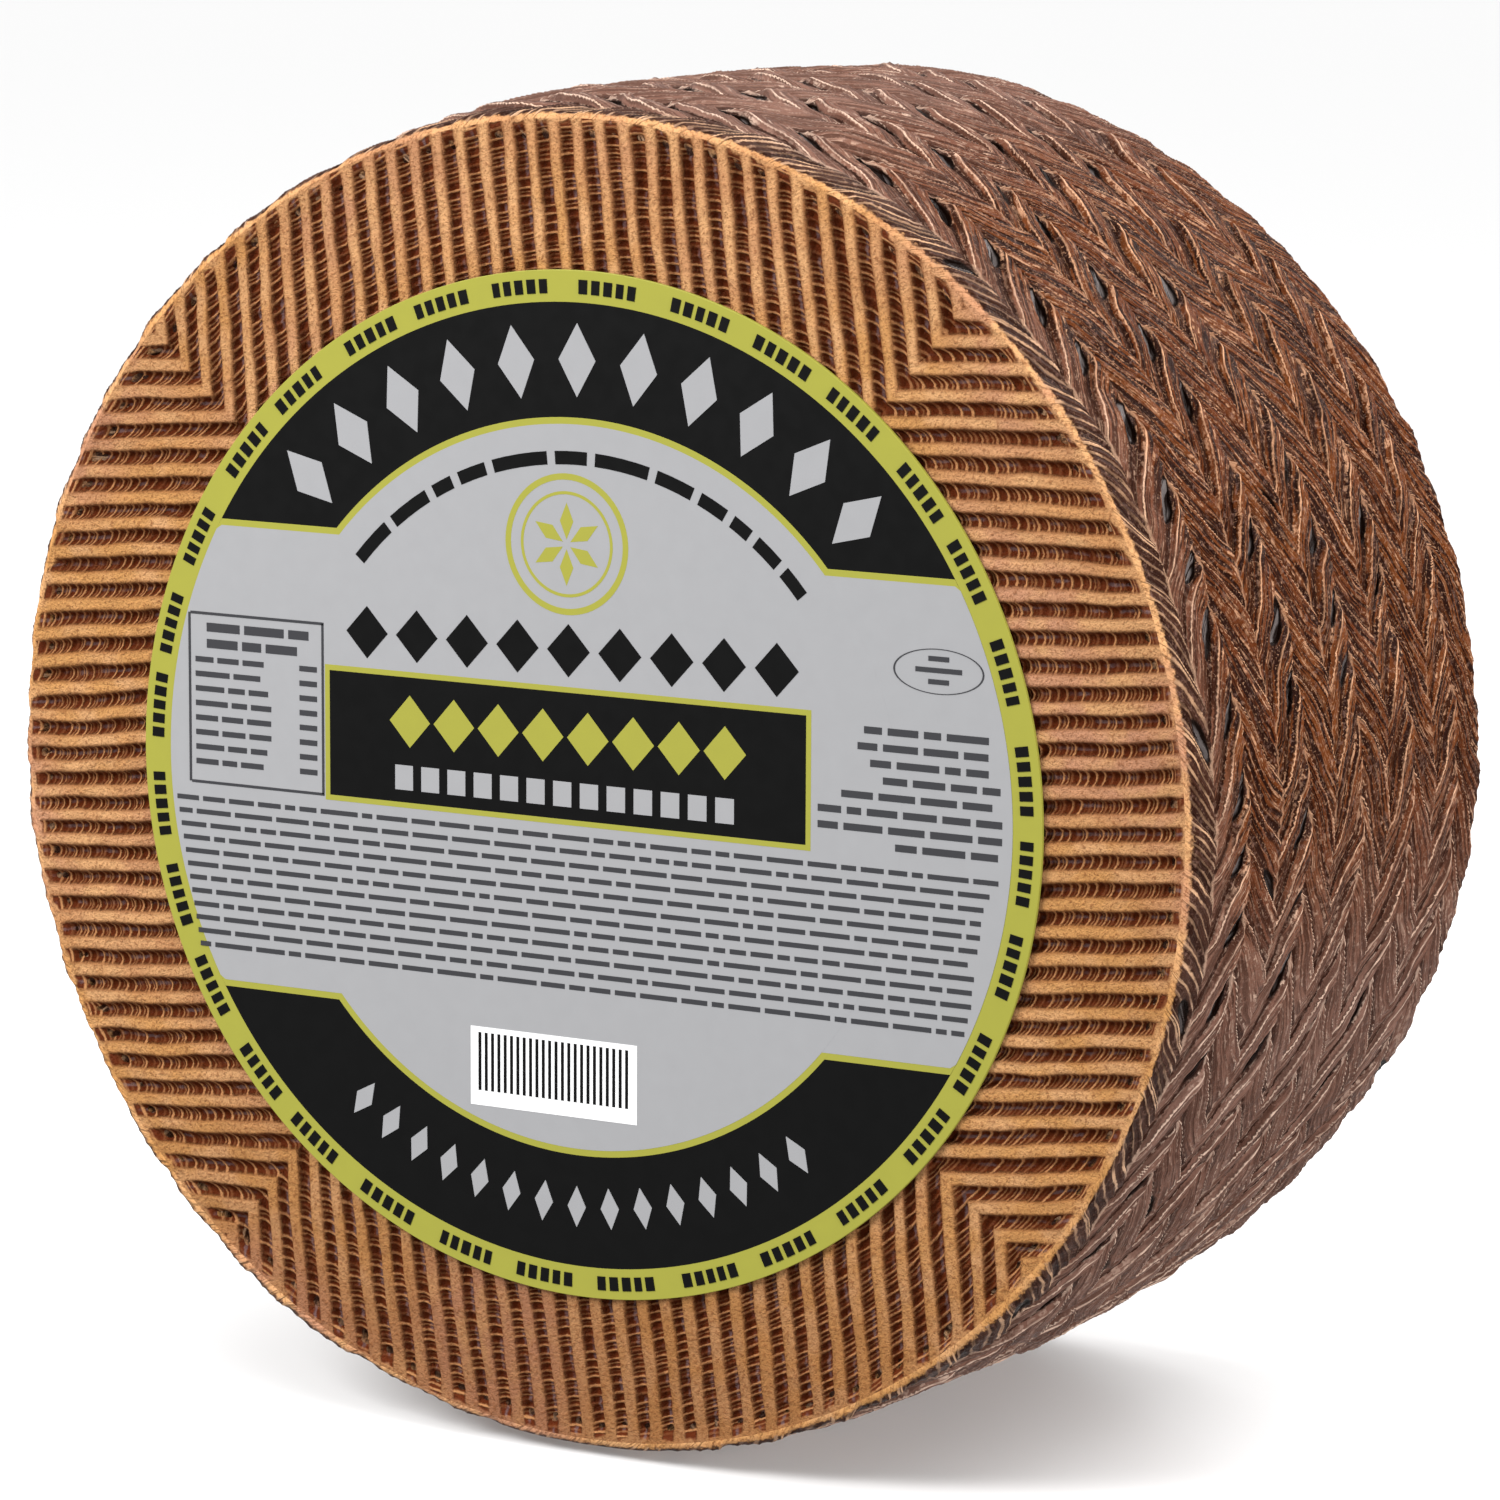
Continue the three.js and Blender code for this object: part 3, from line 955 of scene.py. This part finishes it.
def light_marks():
    """Silver diamonds on the black fields, and a row of silver blocks on the panel."""
    sheet = Print("label_light_marks", LABEL_SILVER, 6)
    for step in range(11):
        lozenge(sheet, 3.0, 5.2, out=61.0, angle=(step - 5) * 9.4)
    for step in range(15):
        lozenge(sheet, 1.5, 3.0, out=60.4, angle=180 + (step - 7) * 5.2)
    for step in range(13):
        middle = -28.8 + step * 4.4
        sheet.field(middle - 1.5, middle + 1.5, -2.6, 1.0)
    sheet.finish()


def panel_marks():
    """A row of lime diamonds on the panel."""
    sheet = Print("label_panel_marks", LABEL_LIME, 6)
    for step in range(8):
        lozenge(sheet, 3.4, 3.8, centre=(-27.8 + step * 7.4, 7.4))
    sheet.finish()


def make_label():
    label_paper()
    colour_fields()
    panel_border()
    dark_marks()
    small_marks()
    bar_panel()
    light_marks()
    panel_marks()


def stand_for_cheese(piece, material):
    piece.data.materials.append(material)
    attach(piece, "root")
    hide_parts("cheese")


def stand_for_label(piece, material):
    piece.data.materials.append(material)
    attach(piece, "root")
    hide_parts("label")


def make_wheel():
    """The wheel's skin in pieces that meet exactly, each small enough to keep all its triangles."""
    ribs = ribbed_rind()
    plait = plaited_rind()
    whole = (0, STEPS_ROUND)
    quarter_marks = [STEPS_ROUND * part // 8 * 2 for part in range(5)]
    eighth_marks = [round(STEPS_ROUND * part / 16) * 2 for part in range(9)]
    back_fine = (BACK_FACE, WHOLE_RUN - BACK_COARSE_RADIUS)
    back_coarse = (WHOLE_RUN - BACK_COARSE_RADIUS, WHOLE_RUN - BACK_CENTRE_RADIUS)
    back_centre = (WHOLE_RUN - BACK_CENTRE_RADIUS, WHOLE_RUN - POLE_GAP)
    skin_piece("front_under_label", ribs, whole, (POLE_GAP, FRONT_COARSE_RADIUS), UNDER_LABEL_STEP, every=4)
    for part in range(4):
        steps = quarter_marks[part:part + 2]
        skin_piece(f"front_ribs_{part + 1}", ribs, steps, (FRONT_COARSE_RADIUS, FACE_RUN), FACE_STEP)
        skin_piece(f"back_ribs_{part + 1}", ribs, steps, back_fine, BACK_STEP, coarse_neighbour=True)
    skin_piece("back_middle", ribs, whole, back_coarse, BACK_STEP, every=2, coarse_neighbour=True)
    skin_piece("back_centre", ribs, whole, back_centre, BACK_STEP, every=4)
    for part in range(8):
        steps = eighth_marks[part:part + 2]
        skin_piece(f"side_plait_{part + 1}", plait, steps, (FACE_RUN, BACK_FACE), SIDE_STEP)


# Camera: its place from the middle of the front face in rim radii, and its turn in degrees
CAMERA_PLACE = (4.978, -8.3726, 1.721)
CAMERA_TURN = (80.3167, -0.2623, 29.3076)
CAMERA_LENS = 161.1
CAMERA_SENSOR = 36.0
CAMERA_REACH = 20.0

# Studio light: where the key light comes from, its strength and spread, and how bright the surroundings are
KEY_FROM = (0.12, -0.22, 0.96)
KEY_STRENGTH = 1.5
KEY_SPREAD = math.radians(50)
WORLD_STRENGTH = 0.6

# Soft lights: name, place in metres, sides in metres, watts, and the point they look at
UPPER_WHEEL = (0, 0, 0.1)
SOFT_LIGHTS = (
    ("left", (-0.34, -0.60, 0.56), (0.35, 0.35), 6.9, UPPER_WHEEL),
    ("top", (0.35, 0.55, 0.75), (0.8, 0.5), 5.5, UPPER_WHEEL),
    ("right", (0.75, -0.15, 0.17), (0.3, 0.3), 3.3, (0.08, 0, 0.05)),
)

# Floor: half its side in metres, and its finish
FLOOR_HALF = 8.0
FLOOR_COLOUR = (0.9, 0.9, 0.9, 1)
FLOOR_ROUGHNESS = 0.25
FLOOR_SPECULAR = 0.2
FLOOR_GLOW = 0.15
WHITE = (1, 1, 1, 1)


def make_camera():
    data = bpy.data.cameras.new("camera")
    data.lens = CAMERA_LENS
    data.sensor_width = CAMERA_SENSOR
    data.clip_end = CAMERA_REACH
    camera = add_object("camera", data)
    front_middle = Vector((0, FRONT_Y, AXIS_HEIGHT))
    camera.location = (front_middle + Vector(CAMERA_PLACE) * RIM_RADIUS) * MM
    camera.rotation_euler = [math.radians(value) for value in CAMERA_TURN]
    bpy.context.scene.camera = camera


def soft_light(name, place, sides, power, aim):
    data = bpy.data.lights.new(name, "AREA")
    data.shape = "RECTANGLE"
    data.size, data.size_y = sides
    data.energy = power
    lamp = add_object(name, data)
    lamp.location = place
    lamp.rotation_euler = (Vector(aim) - Vector(place)).to_track_quat("-Z", "Y").to_euler()


def make_studio():
    sun = bpy.data.lights.new("key", "SUN")
    sun.energy = KEY_STRENGTH
    sun.angle = KEY_SPREAD
    lamp = add_object("key", sun)
    lamp.rotation_euler = Vector(KEY_FROM).to_track_quat("Z", "Y").to_euler()
    for light in SOFT_LIGHTS:
        soft_light(*light)
    world = bpy.data.worlds.new("studio")
    world.use_nodes = True
    surroundings = world.node_tree.nodes["Background"]
    surroundings.inputs["Color"].default_value = WHITE
    surroundings.inputs["Strength"].default_value = WORLD_STRENGTH
    bpy.context.scene.world = world
    bpy.context.scene.view_settings.view_transform = "Standard"


def make_floor():
    """A plain white floor that takes the wheel's shadow and throws no light back up on it."""
    bm = bmesh.new()
    bmesh.ops.create_grid(bm, x_segments=1, y_segments=1, size=FLOOR_HALF)
    mesh = mesh_of(bm, "floor")
    floor = add_object("floor", mesh)
    n = Nodes("floor_white")
    mesh.materials.append(n.finish(FLOOR_COLOUR, FLOOR_ROUGHNESS, FLOOR_SPECULAR))
    n.shader.inputs["Emission Color"].default_value = WHITE
    n.shader.inputs["Emission Strength"].default_value = FLOOR_GLOW
    floor.visible_diffuse = False
    floor.visible_glossy = False


make_camera()
make_studio()
make_floor()
make_wheel()
make_label()
